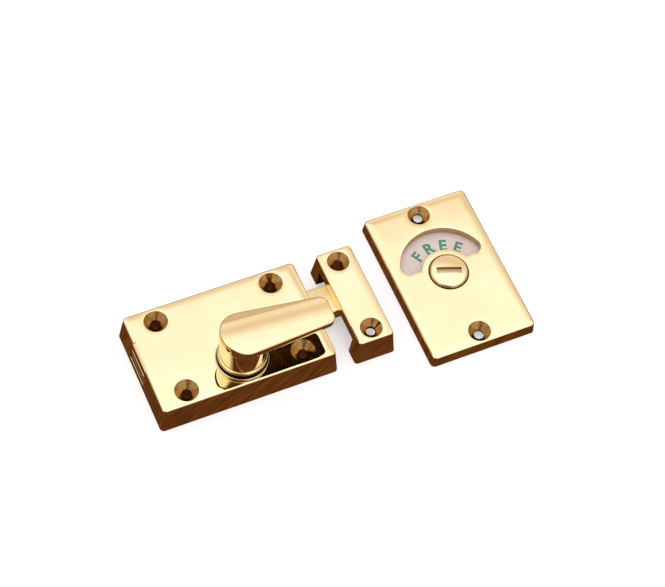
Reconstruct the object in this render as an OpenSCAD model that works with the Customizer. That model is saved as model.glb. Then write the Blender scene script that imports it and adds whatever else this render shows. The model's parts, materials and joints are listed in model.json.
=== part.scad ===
// Toilet indicator bolt: a surface bolt thrown by a lever, its keep,
// and the outside plate with a turning dial and a coin release.
// The three castings lie face up with their backs on one plane.
// Origin: middle of the bolt case's back face. +X is the way the bolt is thrown.

/* [Bolt case] */
// Length of the case at its back
case_l = 67; // [64:0.5:84]
// Width of the case at its back
case_w = 42; // [41:0.5:50]
// Height of the case off the door
case_h = 12; // [12:0.1:15]
// Thickness of the case's face over the hollow
case_face = 3.7; // [3:0.1:4]
// Thickness of the case's walls at its back
case_wall = 4; // [3.6:0.1:4.4]
// How far each cast side leans in from back to face
cast_draft = 1.1; // [0.4:0.1:1.4]
// Rounding of the case's and keep's polished edges
cast_round = 0.7; // [0.3:0.1:1.1]
// Spacing of the case's screw holes along the bolt
case_hole_l = 43.6; // [42:0.2:46]
// Spacing of the case's screw holes across the bolt
case_hole_w = 29.4; // [28.6:0.2:30]
// Radius of the pillars round the case's screw holes
pillar_r = 4.6; // [3.6:0.1:5]

/* [Screw holes] */
// Radius of a wood screw's hole
screw_r = 1.85; // [1.6:0.05:2.1]
// Radius of the case's countersinks
case_csk_r = 4.35; // [3.6:0.05:4.4]
// Radius of the keep's countersinks
keep_csk_r = 4.1; // [3.6:0.05:4.4]
// Radius of the indicator plate's countersinks
plate_csk_r = 4.3; // [3.6:0.05:4.4]

/* [Back plate] */
// Thickness of the plate let into the case's back
back_t = 1.2; // [0.8:0.1:1.3]
// Width of the ledge that the back plate sits on
back_ledge = 1.5; // [1:0.1:1.6]
// Play round the back plate
back_play = 0.15; // [0.05:0.05:0.3]
// Radius of a back plate screw's shank
back_screw_r = 1.2; // [0.8:0.1:1.4]
// Radius of a back plate screw's head
back_head_r = 2.1; // [1.8:0.1:2.3]
// Length of a back plate screw
back_screw_l = 6; // [4:0.5:7]
// Width of a back plate screw's slot
back_slot_w = 0.6; // [0.4:0.05:0.8]
// Depth of a back plate screw's slot
back_slot_d = 0.35; // [0.2:0.05:0.5]
// Wall round a back plate screw's thread
boss_wall = 1.4; // [1:0.1:1.6]
// Distance of the screw bosses from the case's wall
boss_stand = 0.6; // [0.2:0.1:1]
// Distance of the near screws from the lever's axis, along the case
back_screw_out = 12.2; // [11:0.1:12.6]

/* [Bolt] */
// Width of the bolt bar
bolt_w = 11.6; // [10.6:0.1:12.2]
// Thickness of the bolt bar
bolt_t = 5; // [4.5:0.1:5]
// Distance of the bolt's middle line from the case's
bolt_y = 3.2; // [3:0.1:3.4]
// How deep the bolt's tail stands inside the case's end when thrown
tail_in = 0.6; // [0.2:0.1:1.5]
// How far the bolt's nose stands out of the case when withdrawn
nose_out = 0.4; // [0:0.1:1]
// Chamfer on the bolt's nose
nose_chamfer = 1; // [0.4:0.1:2]
// Sliding play round the bolt
slide_gap = 0.3; // [0.2:0.05:0.4]
// Thickness of the bolt's driving lug
lug_t = 3.4; // [2.5:0.1:3.6]
// Half the length of the driving lug along the bolt
lug_half = 6.2; // [5:0.1:7]

/* [Lever] */
// Place of the lever's axis along the case
lever_x = 0.8; // [-1:0.1:1]
// Place of the lever's axis across the case
lever_y = -9.7; // [-9.8:0.1:-9.5]
// Height of the lever's face above the door at its axis
lever_h = 30.3; // [28:0.1:34]
// Distance from the lever's axis to its tip
lever_reach = 32.9; // [26:0.1:34]
// Radius of the lever's wide end
lever_root_r = 8.6; // [8.4:0.1:10]
// How far the wide end's middle stands ahead of the axis
lever_root_x = 0.2; // [0:0.1:2]
// Half the width of the lever at its tip
lever_tip_half = 5.8; // [4:0.1:6.5]
// Rounding of the lever's tip corners
lever_tip_r = 3; // [1.5:0.1:3.5]
// Slope of the lever's face towards its tip, in degrees
lever_slope = 6.5; // [4:0.1:8]
// Slope of the lever's underside towards its tip, in degrees
lever_under_slope = 4.3; // [3:0.1:6]
// Thickness of the lever's blade at its axis
lever_t = 4.2; // [2.6:0.1:6]
// Radius of the lever face's crown across its width
lever_crown_r = 32; // [24:1:60]
// Radius of the barrel at its foot
barrel_foot_r = 8.2; // [7.8:0.1:8.4]
// Radius of the barrel under the blade
barrel_top_r = 8.2; // [7.8:0.1:8.2]
// Radius of the neck under the barrel
neck_r = 6.8; // [6:0.1:7.6]
// Height of the neck under the barrel
neck_h = 0.9; // [0.3:0.1:1.2]
// Radius of the collar under the neck
collar_r = 9.45; // [8.6:0.05:9.8]
// Thickness of the collar
collar_t = 0.8; // [0.5:0.1:1.5]
// Gap between the collar and the neck
collar_gap = 0.3; // [0.2:0.05:0.5]
// Swing of the lever from thrown to withdrawn, in degrees
lever_swing = 110; // [104:1:112]

/* [Drive] */
// Radius of the lever's and release's shanks
shank_r = 3.9; // [3.8:0.05:4]
// Running play between a shank and its bore
shank_play = 0.05; // [0.03:0.01:0.1]
// Width of the square socket for a spindle
socket_w = 4.2; // [4.1:0.05:4.3]
// Half the distance across a shank's flats
flat_half = 3.2; // [3:0.05:3.4]
// Fit between a flatted shank and what it turns
flat_play = 0.04; // [0.02:0.01:0.08]
// Distance from the lever's axis to the drive pin
crank_r = 7.9; // [7.8:0.05:8.1]
// Radius of the drive pin
drive_pin_r = 1.5; // [1.2:0.1:1.6]
// Room beside the drive pin in the bolt's slot
drive_room = 0.6; // [0.55:0.05:0.7]
// Thickness of the follower
follower_t = 1.1; // [0.9:0.05:1.2]
// Radius of the follower's hub
follower_hub_r = 6; // [5.4:0.1:6.6]
// Radius of the follower's arm round the drive pin
follower_arm_r = 2.9; // [2.6:0.1:3.2]
// Width of the follower's arm
follower_web = 4.8; // [3:0.1:5]
// Thickness of a retaining clip
clip_t = 0.5; // [0.4:0.05:0.55]
// Depth of a clip's groove in its shank
clip_groove = 0.5; // [0.3:0.05:0.5]
// Share of the grooved shank that a clip's mouth opens
clip_mouth = 0.8; // [0.6:0.05:0.9]
// Outer radius of the clips and washers
clip_r = 5.3; // [5:0.1:5.4]
// Play between stacked washers, clips and grooves
stack_play = 0.05; // [0.02:0.01:0.08]
// Thickness of a flat washer
washer_t = 0.5; // [0.3:0.05:0.6]
// Chamfer on the upper end of a pin
pin_chamfer = 0.3; // [0.1:0.05:0.4]
// Fit of a pressed-in pin
press_play = 0.01; // [0.005:0.005:0.02]

/* [Guide and spring] */
// Place of the guide pin along the case
guide_x = -12; // [-13:0.5:-10]
// Distance of the guide pin from the bolt's middle line
guide_off = 2.3; // [2:0.1:2.6]
// Radius of the guide pin
guide_r = 1.5; // [1.2:0.1:1.7]
// How far the guide pin is let into the case's face
guide_seat = 1.8; // [1.2:0.1:2]
// Depth of the guide pin into the bolt
guide_in = 3.4; // [2.5:0.1:4]
// Thickness of the friction spring's leaf
spring_t = 0.5; // [0.3:0.05:0.7]
// Width of the friction spring's leaf
spring_w = 4; // [3:0.1:4.4]
// Gap between the friction spring and the bolt
spring_gap = 0.3; // [0.2:0.05:0.5]

/* [Keep] */
// Size of the keep along the bolt
keep_l = 15.5; // [13:0.1:20]
// Size of the keep across the bolt
keep_w = 41.2; // [40:0.2:46]
// Height of the keep off the frame
keep_h = 12; // [11.6:0.1:16]
// Length of each of the keep's two feet
keep_foot = 6; // [5:0.1:7]
// Play between the bolt and the keep's bridge
keep_gap = 0.3; // [0.3:0.05:0.6]
// Spacing of the keep's two screws
keep_hole = 29.2; // [28:0.2:31]
// Distance from the case's end to the keep
keep_apart = 6.55; // [5:0.05:10]
// Place of the keep's middle across the bolt
keep_y = -0.4; // [-1:0.1:1]

/* [Indicator plate] */
// Width of the indicator plate
plate_w = 41; // [40.8:0.2:48]
// Length of the indicator plate
plate_l = 62.4; // [61:0.2:72]
// Thickness of the indicator plate
plate_h = 5.5; // [5.4:0.1:6.5]
// How far the plate's sides lean in from back to face
plate_draft = 0.4; // [0.1:0.1:0.6]
// Rounding of the plate's polished edges
plate_round = 1.6; // [0.6:0.1:2]
// Spacing of the plate's two screws
plate_hole = 52.4; // [51:0.2:53]
// Radius of the wells behind the plate's screw holes
well_r = 3.4; // [3:0.1:3.8]
// Depth of the wells behind the plate's screw holes
well_d = 2; // [1:0.1:2.3]
// Distance from the keep to the plate
plate_apart = 9.45; // [4:0.05:30]
// Place of the plate's middle across the bolt
plate_y = -0.9; // [-5:0.1:5]
// Radius of the window's outer edge
window_r = 16.9; // [15.5:0.1:17]
// How far the outer edge's middle stands above the dial's
window_up = 2; // [1.5:0.1:2]
// Radius of the window's inner edge
window_inner_r = 9.5; // [9:0.1:10]
// Radius of the window's round ends
window_end_r = 3.4; // [2.8:0.1:3.6]
// Height of the window's foot above the dial's middle
window_foot = 3.6; // [3:0.1:4.5]

/* [Dial and release] */
// Depth of the pocket behind the plate for the dial
dial_pocket = 2.5; // [2.4:0.05:2.6]
// Radius of the dial
dial_r = 19.2; // [19.1:0.05:19.3]
// Thickness of the dial
dial_t = 0.8; // [0.5:0.05:0.8]
// Room round the dial in its pocket
dial_room = 0.3; // [0.2:0.05:0.4]
// Radius of the release's head
head_r = 7.3; // [6.5:0.05:7.6]
// How far the release's head stands proud of the plate
head_proud = 1.5; // [0.8:0.1:2.2]
// Depth that the head is let into the plate
head_seat = 1.2; // [0.8:0.05:1.25]
// Rounding of the head's edge
head_round = 1; // [0.4:0.05:1.6]
// Room round the head in its seat
head_room = 0.25; // [0.15:0.05:0.35]
// Length of the coin slot
coin_l = 9.1; // [7:0.1:10.5]
// Width of the coin slot
coin_w = 2.4; // [1.4:0.1:2.6]
// Depth of the coin slot
coin_d = 1.1; // [1:0.1:2]
// Metal left between the coin slot and the spindle's socket
coin_floor = 1.2; // [0.8:0.1:1.5]
// Angle of the coin slot when the dial shows the free state
coin_angle = -20; // [-45:1:45]
// Radius at which the dial's stop pin stands
stop_at = 6.6; // [6.5:0.05:6.8]
// Radius of the dial's stop pin
stop_r = 0.9; // [0.6:0.05:1]
// Length of the stop pin inside the plate
stop_seat = 1.4; // [1:0.1:1.5]
// Room round the stop pin in the dial's slot
stop_room = 0.3; // [0.2:0.05:0.4]

/* [Hidden] */
$fn = 96;
// How far a cut runs past the face it opens
over = 1;
brass = [0.93, 0.78, 0.45];
dark_brass = [0.72, 0.56, 0.30];
steel = [0.72, 0.73, 0.75];
enamel = [0.86, 0.79, 0.77];

ceiling_z = case_h - case_face;
bolt_z1 = ceiling_z - slide_gap;
bolt_z0 = bolt_z1 - bolt_t;
bolt_near = bolt_y - bolt_w / 2;
bolt_far = bolt_y + bolt_w / 2;
bolt_throw = 2 * crank_r * sin(lever_swing / 2);
bolt_nose = case_l / 2 + nose_out + bolt_throw;
bolt_tail = -case_l / 2 + tail_in;

// The drive pin starts as far ahead of the square position as it ends behind it
crank_start = 90 - lever_swing / 2;
pin_x = lever_x + crank_r * cos(crank_start);
pin_y = lever_y + crank_r * sin(crank_start);
pin_high_y = lever_y + crank_r;
drive_half = drive_pin_r + drive_room;
lug_near = lever_y + shank_r + slide_gap;

shank_end = slide_gap;
follower_z1 = bolt_z0 - slide_gap;
follower_z0 = follower_z1 - follower_t;
follower_clip_z = follower_z0 - stack_play - clip_t;
washer_z = ceiling_z - stack_play - washer_t;
lever_clip_z = washer_z - stack_play - clip_t;
collar_z1 = case_h + collar_t;
neck_z = collar_z1 + collar_gap;
barrel_z = neck_z + neck_h;

hollow_l = case_l - 2 * case_wall;
hollow_w = case_w - 2 * case_wall;
rebate_l = hollow_l + 2 * back_ledge;
rebate_w = hollow_w + 2 * back_ledge;
case_holes = [for (sx = [-1, 1], sy = [-1, 1]) [sx * case_hole_l / 2, sy * case_hole_w / 2]];
boss_r = back_screw_r + boss_wall;
boss_y = hollow_w / 2 - boss_stand - boss_r;
back_screws = [[lever_x, boss_y],
               [lever_x - back_screw_out, -boss_y],
               [lever_x + back_screw_out, -boss_y]];

// The leaf bows from the far wall to the bolt, with its ends against the pillars
spring_end_x = case_hole_l / 2 - pillar_r - slide_gap;
spring_far = hollow_w / 2 - stack_play;
spring_near = bolt_far + spring_gap;
spring_bow = spring_far - spring_near - spring_t;
spring_r = (spring_end_x * spring_end_x + spring_bow * spring_bow) / (2 * spring_bow);
spring_z = (bolt_z0 + bolt_z1 - spring_w) / 2;

keep_x = case_l / 2 + keep_apart + keep_l / 2;
keep_holes = [for (sy = [-1, 1]) [keep_x, keep_y + sy * keep_hole / 2]];
keep_under = bolt_z1 + keep_gap;

plate_x = keep_x + keep_l / 2 + plate_apart + plate_w / 2;
plate_holes = [for (sy = [-1, 1]) [plate_x, plate_y + sy * plate_hole / 2]];
pocket_r = dial_r + dial_room;
dial_z1 = dial_pocket - dial_room;
dial_z0 = dial_z1 - dial_t;
dial_washer_z = dial_z0 - stack_play - washer_t;
dial_clip_z = dial_washer_z - stack_play - clip_t;
release_end = dial_clip_z / 2;
seat_z = plate_h - head_seat;
head_z0 = seat_z + stack_play;
head_z1 = plate_h + head_proud;
stop_z0 = dial_z0 - stack_play;
stop_start = -90 + lever_swing / 2;
window_end_y = window_foot + window_end_r;
window_end_x = sqrt(pow(window_r - window_end_r, 2) - pow(window_end_y - window_up, 2));

// Unit vector at an angle
function dir(a) = [cos(a), sin(a)];

// Direction square to the common tangent of two circles, on the left of the way from a to b
function tangent_angle(a, ra, b, rb) =
    atan2(b[1] - a[1], b[0] - a[0]) + acos((ra - rb) / norm(b - a));

// Side view of a casting: leaning sides and rounded upper edges
module cast_profile(w, h, draft, r) {
    lean = atan(draft / h);
    cx = w / 2 - draft * (h - r) / h - r / cos(lean);
    tx = cx + r * cos(lean);
    tz = h - r + r * sin(lean);
    polygon([[-w / 2, 0], [w / 2, 0], [tx, tz], [cx, h], [-cx, h], [-tx, tz]]);
    for (side = [-1, 1])
        translate([side * cx, h - r]) circle(r);
}

// Rectangular casting with its back on the plane z = 0
module cast_block(l, w, h, draft, r) {
    intersection() {
        rotate([90, 0, 0]) linear_extrude(w + 2 * over, center = true) cast_profile(l, h, draft, r);
        rotate([90, 0, 90]) linear_extrude(l + 2 * over, center = true) cast_profile(w, h, draft, r);
    }
}

// Screw hole from the back with a right-angled countersink at the face
module csk_hole(face_z, head_r) {
    translate([0, 0, -over]) cylinder(r = screw_r, h = face_z + 2 * over);
    translate([0, 0, face_z - head_r + screw_r])
        cylinder(r1 = screw_r, r2 = head_r + over, h = head_r - screw_r + over);
}

// Small countersunk screw, or its hole when play is given
module back_screw(play) {
    cylinder(r1 = back_head_r + play, r2 = back_screw_r + play, h = back_head_r - back_screw_r);
    cylinder(r = back_screw_r + play, h = back_screw_l + play);
}

// Round shank with two flats below a height
module flatted_shank(r, z0, z1, flats_to) {
    difference() {
        translate([0, 0, z0]) cylinder(r = r, h = z1 - z0);
        for (side = [-1, 1])
            translate([side * (flat_half + r), 0, flats_to / 2 - over / 2])
                cube([2 * r, 3 * r, flats_to + over], center = true);
    }
}

// Hole that slides over a flatted shank
module flatted_hole(r, z0, z1) {
    intersection() {
        translate([0, 0, z0 - over]) cylinder(r = r + flat_play, h = z1 - z0 + 2 * over);
        translate([0, 0, (z0 + z1) / 2])
            cube([2 * (flat_half + flat_play), 3 * r, z1 - z0 + 2 * over], center = true);
    }
}

// Square socket for a spindle
module socket(z0, z1) {
    translate([0, 0, (z0 - over + z1) / 2]) cube([socket_w, socket_w, z1 - z0 + over], center = true);
}

// Groove for a clip
module clip_cut(r, z) {
    translate([0, 0, z - stack_play]) difference() {
        cylinder(r = r + over, h = clip_t + 2 * stack_play);
        translate([0, 0, -over]) cylinder(r = r - clip_groove, h = clip_t + 2 * stack_play + 2 * over);
    }
}

// Open retaining clip seated in its groove
module clip(r, z, mouth) {
    translate([0, 0, z]) difference() {
        cylinder(r = clip_r, h = clip_t);
        translate([0, 0, -over]) cylinder(r = r - clip_groove + stack_play, h = clip_t + 2 * over);
        rotate(mouth) translate([clip_r, 0, 0])
            cube([2 * clip_r, 2 * (r - clip_groove) * clip_mouth, 3 * clip_t], center = true);
    }
}

// Flat washer round a shank
module washer(r, z) {
    translate([0, 0, z]) difference() {
        cylinder(r = clip_r, h = washer_t);
        translate([0, 0, -over]) cylinder(r = r + shank_play, h = washer_t + 2 * over);
    }
}

// Pin with a chamfered upper end
module pin(r, z0, z1) {
    translate([0, 0, z0]) cylinder(r = r, h = z1 - z0 - pin_chamfer);
    translate([0, 0, z1 - pin_chamfer]) cylinder(r1 = r, r2 = r - pin_chamfer, h = pin_chamfer);
}

// Bar along X from x0 to x1 with room all round, for the bolt and its ways
module bolt_bar(x0, x1, room) {
    translate([x0, bolt_near - room, bolt_z0 - room])
        cube([x1 - x0, bolt_w + 2 * room, bolt_t + 2 * room]);
}

module case() {
    color(brass) difference() {
        cast_block(case_l, case_w, case_h, cast_draft, cast_round);
        difference() {
            translate([-hollow_l / 2, -hollow_w / 2, -over])
                cube([hollow_l, hollow_w, ceiling_z + over]);
            for (p = case_holes)
                translate([p[0], p[1], -2 * over]) cylinder(r = pillar_r, h = case_h + over);
            for (p = back_screws)
                translate([p[0], p[1], -2 * over]) cylinder(r = boss_r, h = case_h + over);
        }
        translate([-rebate_l / 2, -rebate_w / 2, -over]) cube([rebate_l, rebate_w, back_t + over]);
        bolt_bar(-case_l, case_l, slide_gap);
        for (p = case_holes)
            translate([p[0], p[1], 0]) csk_hole(case_h, case_csk_r);
        for (p = back_screws)
            translate([p[0], p[1], 0]) back_screw(shank_play);
        translate([lever_x, lever_y, 0]) cylinder(r = shank_r + shank_play, h = case_h + over);
        translate([guide_x, bolt_y + guide_off, 0])
            cylinder(r = guide_r + press_play, h = ceiling_z + guide_seat);
    }
}

module back_plate() {
    color(dark_brass) difference() {
        translate([back_play - rebate_l / 2, back_play - rebate_w / 2, 0])
            cube([rebate_l - 2 * back_play, rebate_w - 2 * back_play, back_t]);
        for (p = case_holes)
            translate([p[0], p[1], -over]) cylinder(r = screw_r, h = back_t + 2 * over);
        for (p = back_screws)
            translate([p[0], p[1], 0]) {
                back_screw(shank_play);
                translate([0, 0, -over]) cylinder(r = back_head_r + shank_play, h = over);
            }
        translate([lever_x, lever_y, -over]) cylinder(r = clip_r + slide_gap, h = back_t + 2 * over);
    }
}

module back_plate_screws() {
    color(steel)
        for (p = back_screws)
            translate([p[0], p[1], 0]) difference() {
                back_screw(0);
                cube([2 * back_head_r, back_slot_w, 2 * back_slot_d], center = true);
            }
}

module guide_pin() {
    color(steel) translate([guide_x, bolt_y + guide_off, 0])
        pin(guide_r, bolt_z1 - guide_in, ceiling_z + guide_seat);
}

module friction_spring() {
    color(steel) intersection() {
        translate([0, spring_near + spring_r, spring_z]) difference() {
            cylinder(r = spring_r, h = spring_w);
            translate([0, 0, -over]) cylinder(r = spring_r - spring_t, h = spring_w + 2 * over);
        }
        translate([-spring_end_x, spring_near - over, spring_z - over])
            cube([2 * spring_end_x, spring_far - spring_near + over, spring_w + 2 * over]);
    }
}

module bolt() {
    color(brass) difference() {
        union() {
            intersection() {
                bolt_bar(bolt_tail, bolt_nose, 0);
                translate([0, bolt_y, 0]) linear_extrude(case_h) polygon([
                    [bolt_tail, -bolt_w / 2], [bolt_nose - nose_chamfer, -bolt_w / 2],
                    [bolt_nose, nose_chamfer - bolt_w / 2], [bolt_nose, bolt_w / 2 - nose_chamfer],
                    [bolt_nose - nose_chamfer, bolt_w / 2], [bolt_tail, bolt_w / 2]]);
            }
            translate([pin_x - lug_half, lug_near, bolt_z0]) cube([2 * lug_half, bolt_y - lug_near, lug_t]);
        }
        translate([pin_x - drive_half, lug_near - over, bolt_z0 - over])
            cube([2 * drive_half, pin_high_y - lug_near + over, bolt_t + 2 * over]);
        translate([pin_x, pin_high_y, bolt_z0 - over]) cylinder(r = drive_half, h = bolt_t + 2 * over);
        for (x = [guide_x, guide_x + bolt_throw])
            translate([x, bolt_y + guide_off, bolt_z0 - over])
                cylinder(r = guide_r + slide_gap, h = bolt_t + 2 * over);
        translate([guide_x, bolt_y + guide_off - guide_r - slide_gap, bolt_z0 - over])
            cube([bolt_throw, 2 * (guide_r + slide_gap), bolt_t + 2 * over]);
    }
}

module drive_pin() {
    color(steel) translate([pin_x, pin_y, 0]) pin(drive_pin_r, follower_z0, bolt_z1 - slide_gap);
}

module follower() {
    color(dark_brass) translate([lever_x, lever_y, 0]) rotate(crank_start) difference() {
        translate([0, 0, follower_z0]) linear_extrude(follower_t) {
            circle(follower_hub_r);
            translate([crank_r, 0]) circle(follower_arm_r);
            translate([0, -follower_web / 2]) square([crank_r, follower_web]);
        }
        rotate(-crank_start) flatted_hole(shank_r, follower_z0, follower_z1);
        translate([crank_r, 0, 0]) cylinder(r = drive_pin_r + press_play, h = follower_z1 + over);
    }
}

module follower_clip() {
    color(steel) translate([lever_x, lever_y, 0]) clip(shank_r, follower_clip_z, -90);
}

// Plan of the lever's blade: a round wide end drawn in to a rounded tip
module lever_plan() {
    root = [lever_root_x, 0];
    tip = [lever_reach - lever_tip_r, lever_tip_half - lever_tip_r];
    side = tangent_angle(root, lever_root_r, tip, lever_tip_r);
    from = root + lever_root_r * dir(side);
    to = tip + lever_tip_r * dir(side);
    translate(root) circle(lever_root_r);
    for (s = [-1, 1])
        translate([tip[0], s * tip[1]]) circle(lever_tip_r);
    polygon([from, to, [tip[0] + lever_tip_r, tip[1]], [tip[0] + lever_tip_r, -tip[1]],
             [to[0], -to[1]], [from[0], -from[1]], root]);
}

// Space under the lever's crowned and sloping face
module lever_crown() {
    translate([0, 0, lever_h]) rotate([0, lever_slope, 0]) translate([0, 0, -lever_crown_r])
        rotate([0, 90, 0]) cylinder(r = lever_crown_r, h = 4 * lever_reach, center = true);
}

// Space under the blade's sloping underside
module lever_underside() {
    translate([0, 0, lever_h - lever_t]) rotate([0, lever_under_slope, 0])
        translate([0, 0, -lever_crown_r])
            cube([4 * lever_reach, 4 * lever_reach, 2 * lever_crown_r], center = true);
}

module lever() {
    barrel_h = lever_h - lever_t - barrel_z;
    color(brass) translate([lever_x, lever_y, 0]) difference() {
        union() {
            flatted_shank(shank_r, shank_end, neck_z + over, follower_z1 + stack_play);
            translate([0, 0, neck_z]) cylinder(r = neck_r, h = neck_h + over);
            intersection() {
                union() {
                    translate([0, 0, barrel_z]) cylinder(r1 = barrel_foot_r, r2 = barrel_top_r, h = barrel_h);
                    translate([0, 0, barrel_z + barrel_h]) cylinder(r = barrel_top_r, h = lever_t);
                }
                lever_crown();
            }
            difference() {
                intersection() {
                    translate([0, 0, barrel_z]) linear_extrude(lever_h) lever_plan();
                    lever_crown();
                }
                lever_underside();
            }
        }
        socket(shank_end, case_h);
        clip_cut(shank_r, lever_clip_z);
        clip_cut(shank_r, follower_clip_z);
    }
}

module lever_collar() {
    color(brass) translate([lever_x, lever_y, case_h]) difference() {
        cylinder(r = collar_r, h = collar_t);
        translate([0, 0, -over]) cylinder(r = shank_r + slide_gap, h = collar_t + 2 * over);
    }
}

module lever_washer() {
    color(dark_brass) translate([lever_x, lever_y, 0]) washer(shank_r, washer_z);
}

module lever_clip() {
    color(steel) translate([lever_x, lever_y, 0]) clip(shank_r, lever_clip_z, -90);
}

module keep() {
    color(brass) difference() {
        translate([keep_x, keep_y, 0]) cast_block(keep_l, keep_w, keep_h, cast_draft, cast_round);
        translate([keep_x - keep_l, keep_y - keep_w / 2 + keep_foot, -over])
            cube([2 * keep_l, keep_w - 2 * keep_foot, keep_under + over]);
        for (p = keep_holes)
            translate([p[0], p[1], 0]) csk_hole(keep_h, keep_csk_r);
    }
}

// Arched window over the release, with round ends and a level foot
module window_plan() {
    wedge = 2 * window_r;
    lift = atan2(window_end_y - window_up, window_end_x);
    difference() {
        union() {
            intersection() {
                translate([0, window_up]) circle(window_r);
                translate([0, window_up])
                    polygon([[0, 0], wedge * dir(lift), [0, 2 * wedge], wedge * dir(180 - lift)]);
            }
            for (s = [-1, 1])
                translate([s * window_end_x, window_end_y]) circle(window_end_r);
            translate([-window_end_x, window_foot]) square([2 * window_end_x, window_end_r]);
        }
        circle(window_inner_r);
    }
}

module indicator_plate() {
    color(brass) difference() {
        translate([plate_x, plate_y, 0]) cast_block(plate_w, plate_l, plate_h, plate_draft, plate_round);
        for (p = plate_holes)
            translate([p[0], p[1], 0]) {
                csk_hole(plate_h, plate_csk_r);
                translate([0, 0, -over]) cylinder(r = well_r, h = well_d + over);
            }
        translate([plate_x, plate_y, 0]) {
            translate([0, 0, -over]) cylinder(r = pocket_r, h = dial_pocket + over);
            linear_extrude(plate_h + over) window_plan();
            cylinder(r = shank_r + shank_play, h = plate_h + over);
            translate([0, 0, seat_z]) cylinder(r = head_r + head_room, h = head_seat + over);
            rotate(stop_start) translate([stop_at, 0, 0])
                cylinder(r = stop_r + press_play, h = dial_pocket + stop_seat);
        }
    }
}

module release_disc() {
    color(brass) translate([plate_x, plate_y, 0]) difference() {
        union() {
            flatted_shank(shank_r, release_end, head_z0 + over, dial_z1 + stack_play);
            rotate_extrude() {
                translate([0, head_z0]) square([head_r, head_z1 - head_round - head_z0]);
                translate([0, head_z0]) square([head_r - head_round, head_z1 - head_z0]);
                intersection() {
                    translate([head_r - head_round, head_z1 - head_round]) circle(head_round);
                    translate([0, head_z0]) square([2 * head_r, head_z1]);
                }
            }
        }
        rotate(coin_angle) translate([-coin_l / 2, -coin_w / 2, head_z1 - coin_d])
            cube([coin_l, coin_w, coin_d + over]);
        socket(release_end, head_z1 - coin_d - coin_floor);
        clip_cut(shank_r, dial_clip_z);
    }
}

module dial() {
    color(enamel) translate([plate_x, plate_y, 0]) difference() {
        translate([0, 0, dial_z0]) cylinder(r = dial_r, h = dial_t);
        flatted_hole(shank_r, dial_z0, dial_z1);
        for (a = [stop_start, stop_start - lever_swing])
            rotate(a) translate([stop_at, 0, dial_z0 - over])
                cylinder(r = stop_r + stop_room, h = dial_t + 2 * over);
        rotate(stop_start - lever_swing) rotate_extrude(angle = lever_swing)
            translate([stop_at - stop_r - stop_room, dial_z0 - over])
                square([2 * (stop_r + stop_room), dial_t + 2 * over]);
    }
}

module dial_washer() {
    color(steel) translate([plate_x, plate_y, 0]) washer(shank_r, dial_washer_z);
}

module dial_clip() {
    color(steel) translate([plate_x, plate_y, 0]) clip(shank_r, dial_clip_z, 90);
}

module dial_stop_pin() {
    color(steel) translate([plate_x, plate_y, 0]) rotate(stop_start) translate([stop_at, 0, 0])
        pin(stop_r, stop_z0, dial_pocket + stop_seat);
}

case();
back_plate();
back_plate_screws();
guide_pin();
friction_spring();
bolt();
drive_pin();
follower();
follower_clip();
lever();
lever_collar();
lever_washer();
lever_clip();
keep();
indicator_plate();
release_disc();
dial();
dial_washer();
dial_clip();
dial_stop_pin();
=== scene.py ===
"""Toilet indicator bolt: lock case, lever, bolt and keep, and an indicator plate with a coin release."""

import json
import math

import bmesh
import bpy
from bpy.props import FloatProperty, FloatVectorProperty, PointerProperty, StringProperty
from mathutils import Matrix, Vector


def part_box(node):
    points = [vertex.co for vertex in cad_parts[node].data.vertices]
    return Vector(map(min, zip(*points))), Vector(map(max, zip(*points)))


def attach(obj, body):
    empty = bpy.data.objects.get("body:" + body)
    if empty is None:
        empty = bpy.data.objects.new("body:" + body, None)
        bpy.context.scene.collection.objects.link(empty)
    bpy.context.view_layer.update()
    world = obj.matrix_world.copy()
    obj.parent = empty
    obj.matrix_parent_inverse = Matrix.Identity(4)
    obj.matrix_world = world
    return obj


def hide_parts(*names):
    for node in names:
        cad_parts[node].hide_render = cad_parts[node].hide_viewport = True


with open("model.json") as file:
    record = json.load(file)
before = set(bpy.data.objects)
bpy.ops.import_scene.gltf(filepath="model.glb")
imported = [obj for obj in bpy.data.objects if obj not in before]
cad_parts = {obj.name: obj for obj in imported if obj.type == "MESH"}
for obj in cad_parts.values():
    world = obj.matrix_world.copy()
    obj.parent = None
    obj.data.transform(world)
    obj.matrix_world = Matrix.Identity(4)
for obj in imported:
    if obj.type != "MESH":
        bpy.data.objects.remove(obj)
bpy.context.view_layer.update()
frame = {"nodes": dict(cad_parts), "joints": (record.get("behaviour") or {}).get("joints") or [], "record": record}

bl_info = {
    "name": "Toilet Indicator Bolt",
    "version": (1, 0, 0),
    "blender": (4, 5, 0),
    "location": "View3D > Sidebar > Indicator Bolt",
    "description": "Models a polished brass indicator bolt around its packed solids",
    "category": "Add Mesh",
}

MM = 0.001
MOUNTS = {mount["name"]: mount for mount in frame["record"]["mounts"]}
JOINTS = {joint["name"]: joint for joint in frame["joints"]}
LEVER_AXIS = Vector(JOINTS["lever_turn"]["pos_m"])
DIAL_AXIS = Vector(JOINTS["release_turn"]["pos_m"])
DIAL_TURN = math.radians(JOINTS["release_turn"]["range_deg"][1])

# How far a cutter runs past the face it opens
OVER = 1.0 * MM
# Points nearer than this are one point
WELD = 0.001 * MM
# Steps round a turned shape, and rings of a domed one
ROUND = 96
DOME_RINGS = 6
# Sides of a casting, and those along its length
SIDES = ("left", "right", "near", "far")
LONG_SIDES = ("near", "far")
# Faces that meet at more than this angle keep a crisp edge
CRISP = math.radians(32.0)
# A face whose normal rises more than this is level
LEVEL = 0.9999
# A face whose normal rises less than this is upright
UPRIGHT = 0.1
# A face whose normal rises less than this is an underside
UNDER = -0.9
# Share of a font's size that its capitals stand high
CAPITALS = 0.69
# Share of a letter's height by which its strokes are thickened
STROKE = 0.045
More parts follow.
